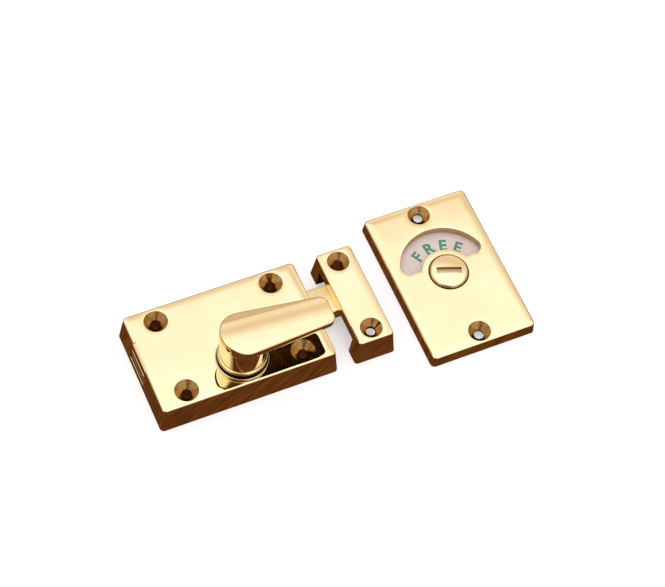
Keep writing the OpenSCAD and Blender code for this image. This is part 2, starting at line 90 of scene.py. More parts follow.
# Sides of the floor and of the card over it, and how far they lie below the door
FLOOR_SIDE = 6.0
FLOOR_DROP = 0.1 * MM
CARD_SIDE = 4.0
CARD_DROP = 0.05 * MM
# Width of the camera's sensor in millimetres, and the nearest distance in metres that it shows
SENSOR = 36.0
NEAREST = 0.01
# Lights of the sky, each with its height above the horizon in degrees
SKY = (("horizon", 2.0), ("wall", 12.0), ("wall", 37.0), ("frieze", 38.5), ("frieze", 43.0),
       ("cornice", 46.0), ("cornice", 49.5), ("cove", 53.0), ("ceiling", 58.0), ("ceiling", 62.0),
       ("lamp", 74.0))


# Properties

def length(name, millimetres, description):
    """A length property whose default is given in millimetres."""
    return FloatProperty(name=name, description=description, default=millimetres * MM, min=0.0,
                         unit='LENGTH', precision=5)


def share(name, default, description):
    """A plain factor from nought to one."""
    return FloatProperty(name=name, description=description, default=default, min=0.0, max=1.0,
                         subtype='FACTOR')


def angle(name, degrees, description):
    """An angle property whose default is given in degrees."""
    return FloatProperty(name=name, description=description, default=math.radians(degrees), unit='ROTATION',
                         subtype='ANGLE')


def colour(name, default, description):
    """A colour property in linear light."""
    return FloatVectorProperty(name=name, description=description, default=default, size=3, min=0.0,
                               soft_max=1.0, subtype='COLOR')


class CastingSettings(bpy.types.PropertyGroup):
    """Sizes of the lock case and the keep."""
    draft: length("Draft", 1.1, "How far each cast side leans in from back to face")
    corner: length("Corner radius", 1.5, "Rounding of the case's upright corners")
    keep_corner: length("Keep corner radius", 1.2, "Rounding of the keep's upright corners")
    edge: length("Edge radius", 0.35, "Rounding of the polished upper edges")
    crown_drop: length("Crown drop", 0.3, "How far the crowned face falls from its middle to its edges")
    crown_reach: length("Crown reach", 16.0, "How far from the edges the face is crowned")
    rim_drop: length("Rim drop", 0.1, "How far buffing has lowered the case's rim")
    rim_reach: length("Rim reach", 1.8, "Width of the buffed rim")
    roll_drop: length("Roll drop", 0.35, "How far buffing has rolled down the case's end over the bolt")
    roll_reach: length("Roll reach", 3.4, "Width of the rolled end")
    relief_width: length("Relief width", 1.6, "Width of the relief filed over the bolt's tail")
    relief_drop: length("Relief drop", 0.7, "How far the relief falls to the case's end")
    keep_crown: length("Keep crown drop", 0.15, "How far the keep's face falls to its far and near edges")
    keep_roll: length("Keep roll drop", 0.2, "How far buffing has rolled down the keep's outer edge")
    mouth: length("Mouth edge", 0.12, "Rounding of the edges where the bolt passes through the case")
    dish_drop: length("Dish drop", 0.08, "How far buffing has lowered the face round a screw hole")
    dish_reach: length("Dish reach", 1.8, "Width of the buffed dish round a screw hole")
    cell: length("Cell size", 0.6, "Size of the cells that a polished face is scored into")
    face: length("Case face", 3.7, "Thickness of the case's face over the hollow")
    wall: length("Case wall", 4.0, "Thickness of the case's walls at its back")
    pillar: length("Pillar radius", 4.6, "Radius of the pillars round the case's screw holes")
    boss: length("Boss radius", 2.6, "Radius of the bosses for the back plate's screws")
    boss_hole: length("Boss hole", 1.25, "Radius of the back plate screws' holes")
    boss_out: length("Boss distance", 12.2, "Distance of the near bosses from the lever's axis")
    boss_side: length("Boss offset", 13.8, "Distance of the bosses from the case's middle line")
    slide_gap: length("Slide gap", 0.3, "Sliding play round the bolt")
    case_sink: length("Case countersink", 4.35, "Radius of the case's countersinks")
    keep_sink: length("Keep countersink", 4.1, "Radius of the keep's countersinks")
    keep_foot: length("Keep foot", 6.0, "Length of each of the keep's two feet")
    keep_under: length("Keep height", 8.08, "Height of the keep's bridge over the door frame")


class BoltSettings(bpy.types.PropertyGroup):
    """Sizes of the bolt bar."""
    width: length("Bar width", 11.6, "Width of the bolt bar")
    nose: length("Nose chamfer", 1.0, "Chamfer on the nose's upright edges")
    edge: length("Edge radius", 0.3, "Rounding of the bar's long edges")
    lug_half: length("Lug half length", 6.2, "Half the length of the driving lug along the bolt")
    lug_height: length("Lug height", 3.4, "Thickness of the driving lug")
    drive_half: length("Drive slot half width", 2.1, "Half the width of the slot for the drive pin")
    guide_half: length("Guide slot half width", 1.8, "Half the width of the slot for the guide pin")


class LeverSettings(bpy.types.PropertyGroup):
    """Sizes of the lever, its shank and its collar."""
    height: length("Height", 30.3, "Height of the lever's face above the door at its axis")
    reach: length("Reach", 32.9, "Distance from the lever's axis to its tip")
    root: length("Root radius", 8.6, "Radius of the lever's wide end")
    root_ahead: length("Root offset", 0.2, "How far the wide end's middle stands ahead of the axis")
    tip_half: length("Tip half width", 5.8, "Half the width of the lever at its tip")
    tip_corner: length("Tip corner radius", 3.0, "Rounding of the lever's tip corners")
    crown: length("Crown radius", 32.0, "Radius of the face's crown across its width")
    slope: angle("Face slope", 6.5, "Slope of the lever's face towards its tip")
    under_slope: angle("Underside slope", 4.3, "Slope of the lever's underside towards its tip")
    thick: length("Blade thickness", 4.2, "Thickness of the blade at the axis")
    edge: length("Edge radius", 0.45, "Rounding of the blade's upper edge")
    under_edge: length("Lower edge radius", 0.3, "Rounding of the blade's lower edge")
    barrel_foot: length("Barrel foot radius", 8.1, "Radius of the barrel over its bead")
    barrel_top: length("Barrel top radius", 8.45, "Radius of the barrel under the blade")
    barrel_start: length("Barrel start", 14.0, "Height of the barrel's foot above the door")
    neck: length("Neck radius", 6.8, "Radius of the neck under the barrel")
    neck_start: length("Neck start", 13.1, "Height of the neck's foot above the door")
    barrel_end: length("Barrel end", 28.4, "Height inside the blade where the barrel's core ends")
    bead: length("Bead radius", 0.75, "Radius of the bead round the barrel's foot")
    shank: length("Shank radius", 3.9, "Radius of the lever's and the release's shanks")
    shank_start: length("Shank start", 0.3, "Height of the lever shank's lower end")
    shank_play: length("Shank play", 0.05, "Running play between a shank and its bore")
    flat_half: length("Shank flat distance", 3.2, "Half the distance across the shanks' flats")
    flats_to: length("Flat height", 2.75, "Height up to which the lever's shank has flats")
    socket: length("Socket width", 4.2, "Width of the square sockets for a spindle")
    groove: length("Groove depth", 0.5, "Depth of the clips' grooves in the shanks")
    collar_edge: length("Collar edge radius", 0.3, "Rounding of the collar's edge")
    collar_play: length("Collar play", 0.3, "Play between the shank and the collar's bore")
    cell: length("Cell size", 0.7, "Size of the cells that the crowned face is scored into")


class PlateSettings(bpy.types.PropertyGroup):
    """Sizes of the indicator plate, its dial and its coin release."""
    draft: length("Draft", 0.4, "How far the plate's sides lean in from back to face")
    corner: length("Corner radius", 1.6, "Rounding of the plate's upright corners")
    edge: length("Edge radius", 0.4, "Rounding of the plate's rim")
    crown_drop: length("Crown drop", 0.3, "How far the crowned face falls towards its far and near edges")
    crown_reach: length("Crown reach", 16.0, "How far from those edges the face is crowned")
    roll_drop: length("Roll drop", 0.2, "How far buffing has rolled down the plate's edges")
    roll_reach: length("Roll reach", 3.0, "Width of the rolled edges")
    cell: length("Cell size", 0.45, "Size of the cells that the plate's face is scored into")
    sink: length("Countersink", 4.3, "Radius of the plate's countersinks")
    well: length("Well radius", 3.4, "Radius of the wells behind the screw holes")
    well_depth: length("Well depth", 2.0, "Depth of the wells behind the screw holes")
    dish_drop: length("Dish drop", 0.08, "How far buffing has lowered the face round an opening")
    dish_reach: length("Dish reach", 1.6, "Width of the buffed dish round an opening")
    pocket: length("Pocket radius", 19.5, "Radius of the pocket behind the plate")
    pocket_depth: length("Pocket depth", 2.5, "Depth of the pocket behind the plate")
    window: length("Window radius", 16.9, "Radius of the window's outer edge")
    window_up: length("Window offset", 2.0, "How far the outer edge's middle stands above the dial's")
    window_inner: length("Window inner radius", 9.5, "Radius of the window's inner edge")
    window_end: length("Window end radius", 3.4, "Radius of the window's round ends")
    window_foot: length("Window foot", 3.6, "Height of the window's foot above the dial's middle")
    window_corner: length("Window corner radius", 1.8, "Rounding of the window's inner corners")
    seat: length("Seat radius", 7.45, "Radius of the seat that the release is let into")
    seat_height: length("Seat height", 4.3, "Height of the seat's floor above the door")
    head: length("Head radius", 7.05, "Radius of the release's head")
    head_round: length("Head edge radius", 1.0, "Rounding of the head's edge")
    head_dome: length("Head dome", 0.4, "How far the head's middle stands above its edge")
    coin_length: length("Coin slot length", 9.1, "Length of the coin slot")
    coin_width: length("Coin slot width", 2.4, "Width of the coin slot")
    coin_depth: length("Coin slot depth", 1.1, "Depth of the coin slot")
    coin_floor: length("Coin slot floor", 1.2, "Metal left between the coin slot and the spindle's socket")
    coin_angle: angle("Coin slot angle", -20.0, "Angle of the coin slot when the dial shows the free state")
    free_word: StringProperty(name="Free word", description="State word shown at rest", default="FREE")
    busy_word: StringProperty(name="Busy word", description="State word shown when turned", default="BUSY")
    letter: length("Letter height", 4.2, "Height of the capitals on the dial")
    letter_foot: length("Letter foot radius", 11.2, "Radius on the dial where the letters stand")
    letter_step: angle("Letter spacing", 24.0, "Angle from one letter to the next")
    word_lean: angle("Word lean", 5.0, "How far the words stand clockwise of the window's middle")
    letter_thick: length("Letter thickness", 0.03, "Thickness of the printed letters")


class FinishSettings(bpy.types.PropertyGroup):
    """Colours of the finishes."""
    brass: colour("Polished brass", (0.93, 0.77, 0.43), "Colour of the polished brass")
    brass_deep: colour("Deep brass", (0.91, 0.73, 0.38), "Colour of the polished brass where it is warmer")
    turned: colour("Turned brass", (0.70, 0.45, 0.17), "Colour of the turned screw holes")
    # Near black: a dull cast skin, with painted shade for undersides and recesses put into its colour
    cast: colour("Cast brass", (0.06, 0.033, 0.012), "Colour of the brass left as cast")
    rolled: colour("Rolled brass", (0.62, 0.46, 0.22), "Colour of the plain inner brass")
    steel: colour("Steel", (0.55, 0.56, 0.58), "Colour of the steel pins and clips")
    enamel: colour("Dial enamel", (0.80, 0.69, 0.615), "Colour of the dial")
    free_ink: colour("Free ink", (0.051, 0.262, 0.127), "Colour of the free word")
    busy_ink: colour("Busy ink", (0.42, 0.028, 0.022), "Colour of the busy word")
    gloss: share("Polish roughness", 0.02, "Roughness of the polished brass")
    satin: share("Satin roughness", 0.3, "Roughness of the bolt's brass")


class StageSettings(bpy.types.PropertyGroup):
    """Floor, light and camera."""
    floor: colour("Floor", (0.78, 0.78, 0.78), "Colour of the floor")
    floor_glow: FloatProperty(name="Floor glow", description="Light that the floor gives off", default=0.4,
                              min=0.0)
    card: colour("Card", (0.118, 0.042, 0.014), "Colour of the card that the brass reflects")
    lamp: colour("Lamp light", (1.75, 1.72, 1.85), "Light from the soft lamp overhead")
    ceiling: colour("Ceiling light", (1.30, 1.27, 1.48), "Light from round the lamp")
    cove: colour("Cove light", (1.05, 0.99, 1.04), "Light from the ceiling's border")
    cornice: colour("Cornice light", (0.91, 0.79, 0.77), "Light from the ceiling's edge")
    frieze: colour("Frieze light", (1.03, 0.94, 0.92), "Light from the top of the wall")
    wall: colour("Wall light", (0.71, 0.60, 0.54), "Light from the wall")
    horizon: colour("Horizon light", (0.10, 0.055, 0.03), "Light from the horizon")
    flag: colour("Flag", (0.10, 0.04, 0.016), "Dim light from the flag round the camera")
    room: colour("Room", (0.26, 0.15, 0.08), "Dim light from the room behind the camera")
    flag_inner: angle("Flag inner angle", 14.0, "Angle from the camera within which the flag is full")
    flag_outer: angle("Flag outer angle", 27.0, "Angle from the camera at which the flag ends")
    room_height: angle("Room height", 5.0, "Height of the room's middle above the floor, as an angle")
    room_inner: angle("Room inner angle", 27.0, "Angle from the room's middle within which it is full")
    room_outer: angle("Room outer angle", 31.0, "Angle from the room's middle at which it ends")
    look_at: FloatVectorProperty(name="Look at", description="Point that the camera looks at", size=3,
                                 default=(44.19 * MM, 8.69 * MM, 0.0), unit='LENGTH', subtype='XYZ')
    distance: length("Camera distance", 807.56, "Distance of the camera from the point it looks at")
    azimuth: angle("Camera azimuth", -31.04, "Turn of the camera round the upright axis")
    elevation: angle("Camera elevation", 59.30, "Height of the camera above the floor, as an angle")
    roll: angle("Camera roll", 8.64, "Turn of the camera about its own line of sight")
    lens: FloatProperty(name="Lens", description="Focal length in millimetres", default=121.35, min=1.0)


# Selecting and shaping

def start():
    """Leaves edit mode with nothing selected."""
    if bpy.context.mode != 'OBJECT':
        bpy.ops.object.mode_set(mode='OBJECT')
    bpy.ops.object.select_all(action='DESELECT')


def take(piece):
    """Makes a piece the only one selected."""
    start()
    piece.select_set(True)
    bpy.context.view_layer.objects.active = piece


def edit(piece):
    """Opens a piece in edit mode."""
    take(piece)
    bpy.ops.object.mode_set(mode='EDIT')


def pick(piece, kind, test):
    """Selects the points, edges or faces that pass a test."""
    mesh = bmesh.from_edit_mesh(piece.data)
    bpy.ops.mesh.select_mode(type=kind)
    parts = {'VERT': mesh.verts, 'EDGE': mesh.edges, 'FACE': mesh.faces}
    for part in (*mesh.verts, *mesh.edges, *mesh.faces):
        part.select = False
    found = [part for part in parts[kind] if test(part)]
    for part in found:
        part.select_set(True)
    mesh.select_flush_mode()
    bmesh.update_edit_mesh(piece.data)
    if not found:
        raise RuntimeError(f"{piece.name}: nothing to select")


def settle(name):
    """Names the object in hand and puts its place into its mesh."""
    bpy.ops.object.transform_apply(location=True, rotation=True, scale=True)
    piece = bpy.context.object
    piece.name = name
    piece.data.name = name
    return piece


def add_box(name, low, high):
    """A box between two corners."""
    start()
    low = Vector(low)
    high = Vector(high)
    bpy.ops.mesh.primitive_cube_add(size=1.0, location=(low + high) / 2.0, scale=high - low)
    return settle(name)


def add_rod(name, place, radius, low, high):
    """An upright rod."""
    start()
    bpy.ops.mesh.primitive_cylinder_add(vertices=ROUND, radius=radius, depth=high - low,
                                        location=(place[0], place[1], (low + high) / 2.0))
    return settle(name)


def add_chain(name, points):
    """A chain of points, left open in edit mode."""
    start()
    bpy.ops.mesh.primitive_plane_add(size=MM)
    piece = settle(name)
    edit(piece)
    bpy.ops.mesh.select_mode(type='VERT')
    bpy.ops.mesh.select_all(action='SELECT')
    bpy.ops.mesh.merge(type='CENTER')
    bpy.ops.transform.translate(value=points[0])
    for here, there in zip(points, points[1:]):
        step = Vector(there) - Vector(here)
        bpy.ops.mesh.extrude_vertices_move(TRANSFORM_OT_translate={"value": step})
    return piece


def add_turned(name, place, profile):
    """Spins a profile of radius and height pairs about an upright axis."""
    piece = add_chain(name, [(place[0] + radius, place[1], height) for radius, height in profile])
    bpy.ops.mesh.select_all(action='SELECT')
    bpy.ops.mesh.spin(steps=ROUND, angle=math.tau, center=(place[0], place[1], 0.0), axis=(0.0, 0.0, 1.0))
    close_up(piece)
    return piece


def add_slab(name, outline, low, high):
    """A flat outline raised to a solid."""
    piece = add_chain(name, [(x, y, low) for x, y in outline])
    bpy.ops.mesh.select_all(action='SELECT')
    bpy.ops.mesh.edge_face_add()
    bpy.ops.mesh.extrude_region_move(TRANSFORM_OT_translate={"value": (0.0, 0.0, high - low)})
    close_up(piece)
    return piece


def close_up(piece):
    """Merges doubled points and turns every face outwards."""
    bpy.ops.mesh.select_all(action='SELECT')
    bpy.ops.mesh.remove_doubles(threshold=WELD)
    bpy.ops.mesh.normals_make_consistent(inside=False)
    take(piece)


def arc(centre, radius, first, last, steps):
    """Points on an arc, its ends included."""
    turns = [first + (last - first) * step / steps for step in range(steps + 1)]
    return [(centre[0] + radius * math.cos(turn), centre[1] + radius * math.sin(turn)) for turn in turns]


def combine(piece, tool, how):
    """Cuts a piece by a tool, or joins the two, and drops the tool."""
    take(piece)
    modifier = piece.modifiers.new(how.title(), 'BOOLEAN')
    modifier.operation = how
    modifier.solver = 'EXACT'
    modifier.material_mode = 'TRANSFER'
    modifier.object = tool
    bpy.ops.object.modifier_apply(modifier=modifier.name)
    bpy.data.objects.remove(tool)
    if not piece.data.polygons:
        raise RuntimeError(f"{piece.name}: nothing left after {how.lower()}")


def cut(piece, *tools):
    """Cuts a piece by tools."""
    for tool in tools:
        combine(piece, tool, 'DIFFERENCE')


def fuse(piece, *others):
    """Joins other solids to a piece."""
    for other in others:
        combine(piece, other, 'UNION')


def score(piece, face, cell):
    """Scores the faces that pass a test into square cells."""
    low, high = (Vector(end) for end in (piece.bound_box[0], piece.bound_box[6]))
    edit(piece)
    for axis in (0, 1):
        normal = Vector((axis == 0, axis == 1, 0))
        middle = (low[axis] + high[axis]) / 2.0
        count = int((high[axis] - low[axis]) / cell / 2.0)
        for step in range(-count, count + 1):
            pick(piece, 'FACE', face)
            bpy.ops.mesh.bisect(plane_co=normal * (middle + step * cell), plane_no=normal, threshold=WELD)
    start()


def press(piece, test, drop, reach, falloff='SHARP'):
    """Presses points down, and what lies within reach along with them, but for the flat back."""
    edit(piece)
    pick(piece, 'VERT', lambda point: point.co.z < OVER)
    bpy.ops.mesh.hide(unselected=False)
    pick(piece, 'VERT', test)
    bpy.ops.transform.translate(value=(0.0, 0.0, -drop), use_proportional_edit=True,
                                proportional_edit_falloff=falloff, proportional_size=reach)
    bpy.ops.mesh.reveal(select=False)
    start()


def add_casting(name, low, high, draft, corner, edge, cell):
    """A cast block with leaning sides, rounded corners and edges, and its face scored into cells."""
    piece = add_box(name, low, high)
    top = high[2]
    edit(piece)
    pick(piece, 'FACE', lambda face: face.normal.z > LEVEL)
    sides = [(high[axis] - low[axis] - 2.0 * draft) / (high[axis] - low[axis]) for axis in (0, 1)]
    middle = (Vector(low) + Vector(high)) / 2.0
    bpy.ops.transform.resize(value=(*sides, 1.0), center_override=middle)
    pick(piece, 'EDGE', lambda line: abs(line.verts[0].co.z - line.verts[1].co.z) > top / 2.0)
    bpy.ops.mesh.bevel(offset=corner, segments=8)
    pick(piece, 'EDGE', lambda line: all(point.co.z > top - WELD for point in line.verts))
    bpy.ops.mesh.bevel(offset=edge, segments=4)
    start()
    score(piece, lambda face: face.normal.z > LEVEL and face.calc_center_median().z > top - WELD, cell)
    return piece


def on_rims(low, high, inset, sides):
    """A test for the points where a casting's face meets its edges on some sides."""
    reach = inset + WELD

    def test(point):
        x, y, z = point.co
        rims = {"left": x < low.x + reach, "right": x > high.x - reach,
                "near": y < low.y + reach, "far": y > high.y - reach}
        return z > high.z - OVER and any(rims[side] for side in sides)
    return test


def inside(place, radius, above):
    """A test for points above a height and within a radius of an axis."""
    return lambda point: point.co.z > above and math.dist(point.co.xy, place[:2]) < radius


def dish(piece, places, sink, above, sizes):
    """Presses a casting's face down a little round its screw holes."""
    for place in places:
        press(piece, inside(place, sink, above), sizes.dish_drop, sizes.dish_reach)


def countersink(piece, places, hole, sink, face):
    """Cuts countersunk screw holes into a casting."""
    for place in places:
        tool = add_turned("sink", place, [(0.0, -OVER), (hole, -OVER), (hole, face - sink + hole),
                                          (sink + OVER, face + OVER), (0.0, face + OVER)])
        coat("turned_brass", tool)
        refinish(tool, "rolled_brass", lambda part: abs(part.normal.z) < UPRIGHT)
        cut(piece, tool)


def pin_seat(node):
    """The cutter of the hole that a pin is pressed into."""
    low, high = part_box(node)
    return add_rod("pin_seat", (low + high) / 2.0, (high.x - low.x) / 2.0, low.z, high.z)


def shank_flats(place, sizes, top):
    """The cutters of the two flats on a shank."""
    outer = 2.0 * sizes.shank
    flats = []
    for left, right in ((-outer, -sizes.flat_half), (sizes.flat_half, outer)):
        flats.append(add_box("flat", (place.x + left, place.y - outer, -OVER),
                             (place.x + right, place.y + outer, top)))
    return flats


def groove(clip, sizes):
    """Profile of a clip's groove in a shank."""
    low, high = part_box(clip)
    deep = sizes.shank - sizes.groove
    return [(sizes.shank, low.z), (deep, low.z), (deep, high.z), (sizes.shank, high.z)]


def spindle_socket(place, sizes, top):
    """The cutter of a square socket for a spindle."""
    half = sizes.socket / 2.0
    return add_box("socket", (place.x - half, place.y - half, -OVER), (place.x + half, place.y + half, top))


def centre_of(node):
    """Middle of a node's box."""
    low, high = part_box(node)
    return (low + high) / 2.0


def finish_piece(piece, body, slot, *nodes):
    """Smooths a piece, hangs it on its body and lets it stand for its nodes."""
    take(piece)
    bpy.ops.object.shade_smooth_by_angle(angle=CRISP)
    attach(piece, body)
    if nodes:
        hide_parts(*nodes)


def screw_places(name):
    """Centres and radius of a mount's screw holes."""
    dims = MOUNTS[name]["dims"]
    middle = Vector(MOUNTS[name]["pos_m"])
    halves = [dims.get(f"spacing_{axis}_mm", 0.0) * MM / 2.0 for axis in "xy"]
    places = {(middle.x + sx * halves[0], middle.y + sy * halves[1]) for sx in (-1, 1) for sy in (-1, 1)}
    return sorted(places), dims["hole_r_mm"] * MM


# Finishes

def put(tree, kind, options=None, sockets=None):
    """Adds a node, sets its options, and fills its sockets with values or links."""
    made = tree.nodes.new(kind)
    for option, value in (options or {}).items():
        setattr(made, option, value)
    for socket, value in (sockets or {}).items():
        if isinstance(value, bpy.types.NodeSocket):
            tree.links.new(value, made.inputs[socket])
        else:
            made.inputs[socket].default_value = value
    return made


def ramp(tree, factor, *stops):
    """A colour ramp through stops of place and colour."""
    made = put(tree, 'ShaderNodeValToRGB', sockets={"Fac": factor})
    while len(made.color_ramp.elements) < len(stops):
        made.color_ramp.elements.new(1.0)
    for element, (place, shade) in zip(made.color_ramp.elements, stops):
        element.position = place
        element.color = (*shade, 1.0)
    return made.outputs["Color"]


def spread(tree, factor, low, high, first=0.0, last=1.0):
    """A value mapped from one range to another."""
    made = put(tree, 'ShaderNodeMapRange', sockets={"Value": factor, "From Min": first, "From Max": last,
                                                    "To Min": low, "To Max": high})
    return made.outputs["Result"]


def noise(tree, scale, detail=2.0, stretch=(1.0, 1.0, 1.0), turn=0.0):
    """Noise on the piece's own coordinates, drawn out along axes turned about the upright one."""
    place = put(tree, 'ShaderNodeTexCoord').outputs["Object"]
    mapped = put(tree, 'ShaderNodeMapping', {"vector_type": 'TEXTURE'},
                 {"Vector": place, "Rotation": (0.0, 0.0, turn), "Scale": stretch})
    made = put(tree, 'ShaderNodeTexNoise', sockets={"Vector": mapped.outputs["Vector"], "Scale": scale,
                                                    "Detail": detail})
    return made.outputs["Fac"]


def bump(tree, height, strength, distance, under=None):
    """A bump, on top of another if one is given."""
    sockets = {"Height": height, "Strength": strength, "Distance": distance}
    if under:
        sockets["Normal"] = under
    return put(tree, 'ShaderNodeBump', sockets=sockets).outputs["Normal"]


def new_material(name):
    """An empty material and its node tree."""
    made = bpy.data.materials.new(name)
    made.use_nodes = True
    made.node_tree.nodes.clear()
    return made


def close_material(made, sockets):
    """Ends a material in one principled shader."""
    tree = made.node_tree
    shader = put(tree, 'ShaderNodeBsdfPrincipled', sockets=sockets)
    put(tree, 'ShaderNodeOutputMaterial', sockets={"Surface": shader.outputs["BSDF"]})
    return made


def close_metal(made, tone, rough, normal):
    """Ends a metal's material."""
    return close_material(made, {"Base Color": tone, "Metallic": 1.0, "Roughness": rough,
                                 "Normal": normal})


def shaded(tint, factor):
    """A colour made lighter or darker."""
    return tuple(channel * factor for channel in tint)


def mottled(tree, factor, tint, shade, low=0.3, high=0.7):
    """A colour that runs into a shade of itself where a factor is low."""
    return ramp(tree, factor, (low, shaded(tint, shade)), (high, tint))


def buffed_brass(name, finish, gloss):
    """Buffed and lacquered brass: a mirror, or nearly one, with faint waves and wiping marks."""
    made = new_material(name)
    tree = made.node_tree
    tone = ramp(tree, noise(tree, scale=70.0, detail=3.0), (0.35, finish.brass_deep), (0.65, finish.brass))
    smear = noise(tree, scale=480.0, detail=4.0, stretch=(3.0, 1.0, 3.0))
    rough = spread(tree, smear, low=gloss * 0.7, high=gloss * 1.5, first=0.3, last=0.7)
    waves = bump(tree, noise(tree, scale=110.0, detail=1.0), strength=0.006, distance=0.1 * MM)
    wiping = noise(tree, scale=900.0, detail=3.0, stretch=(8.0, 1.0, 1.0))
    scratches = bump(tree, wiping, strength=0.004, distance=0.02 * MM, under=waves)
    return close_metal(made, tone, rough, scratches)


def turned_brass(finish):
    """Screw holes with the rings that the cutter left."""
    made = new_material("turned_brass")
    tree = made.node_tree
    place = put(tree, 'ShaderNodeTexCoord').outputs["Object"]
    wave = put(tree, 'ShaderNodeTexWave', {"wave_type": 'BANDS', "bands_direction": 'Z'},
               {"Vector": place, "Scale": 900.0, "Distortion": 1.5, "Detail": 2.0})
    rings = wave.outputs["Fac"]
    tone = mottled(tree, noise(tree, scale=400.0, detail=3.0), finish.turned, shade=0.6)
    rough = spread(tree, rings, low=0.08, high=0.18)
    return close_metal(made, tone, rough, bump(tree, rings, strength=0.15, distance=0.05 * MM))


def cast_brass_painted_shade(finish):
    """Brass left as cast: dull and pitted, its colour darkened near to black as painted shade for the undersides
    and recesses it covers.
    """
    made = new_material("cast_brass_painted_shade")
    tree = made.node_tree
    pits = noise(tree, scale=700.0, detail=5.0)
    tone = mottled(tree, pits, finish.cast, shade=0.7, low=0.35, high=0.65)
    rough = spread(tree, noise(tree, scale=300.0), low=0.42, high=0.6)
    return close_metal(made, tone, rough, bump(tree, pits, strength=0.4, distance=0.15 * MM))


def lined_metal(name, tint, shade, patches, lines, stretch, rough, strength, depth):
    """Metal with the fine lines that rolling or drawing leaves."""
    made = new_material(name)
    tree = made.node_tree
    grain = noise(tree, scale=lines, detail=3.0, stretch=stretch)
    tone = mottled(tree, noise(tree, scale=patches, detail=3.0), tint, shade)
    return close_metal(made, tone, spread(tree, grain, *rough), bump(tree, grain, strength, depth))


def rolled_brass(finish):
    """Plain sheet brass with the lines of the rolling mill."""
    return lined_metal("rolled_brass", finish.rolled, shade=0.75, patches=120.0, lines=1500.0,
                       stretch=(25.0, 1.0, 1.0), rough=(0.24, 0.42), strength=0.12, depth=0.03 * MM)


def drawn_steel(finish):
    """Drawn steel with fine lines and a trace of oil."""
    return lined_metal("drawn_steel", finish.steel, shade=0.7, patches=200.0, lines=1800.0,
                       stretch=(1.0, 1.0, 16.0), rough=(0.22, 0.38), strength=0.1, depth=0.02 * MM)


def stove_enamel(finish):
    """Pale stove enamel, faintly mottled."""
    made = new_material("stove_enamel")
    tree = made.node_tree
    tone = mottled(tree, noise(tree, scale=350.0, detail=4.0), finish.enamel, shade=0.93)
    rough = spread(tree, noise(tree, scale=900.0), low=0.3, high=0.42)
    normal = bump(tree, noise(tree, scale=500.0), strength=0.1, distance=0.02 * MM)
    return close_material(made, {"Base Color": tone, "Roughness": rough, "Normal": normal})


def printed_ink(name, tint):
    """Screen-printed ink that lies a little unevenly."""
    made = new_material(name)
    tree = made.node_tree
    tone = mottled(tree, noise(tree, scale=2500.0, detail=3.0), tint, shade=1.35, low=0.25, high=0.6)
    rough = spread(tree, noise(tree, scale=1200.0), low=0.38, high=0.5)
    return close_material(made, {"Base Color": tone, "Roughness": rough})


FINISHES = {
    "mirror_brass": lambda finish: buffed_brass("mirror_brass", finish, finish.gloss),
    "satin_brass": lambda finish: buffed_brass("satin_brass", finish, finish.satin),
    "turned_brass": turned_brass,
    "cast_brass_painted_shade": cast_brass_painted_shade,
    "rolled_brass": rolled_brass,
    "drawn_steel": drawn_steel,
    "stove_enamel": stove_enamel,
    "free_ink": lambda finish: printed_ink("free_ink", finish.free_ink),
    "busy_ink": lambda finish: printed_ink("busy_ink", finish.busy_ink),
}


def finish_named(name):
    """A finish, made the first time it is asked for."""
    return bpy.data.materials.get(name) or FINISHES[name](bpy.context.scene.bolt_finish)


def coat(finish, *pieces):
    """Gives pieces a finish all over."""
    for piece in pieces:
        piece.data.materials.append(finish_named(finish))


def refinish(piece, finish, test):
    """Gives another finish to the faces that pass a test."""
    coat(finish, piece)
    piece.active_material_index = len(piece.data.materials) - 1
    edit(piece)
    pick(piece, 'FACE', test)
    bpy.ops.object.material_slot_assign()
    start()


# Pieces

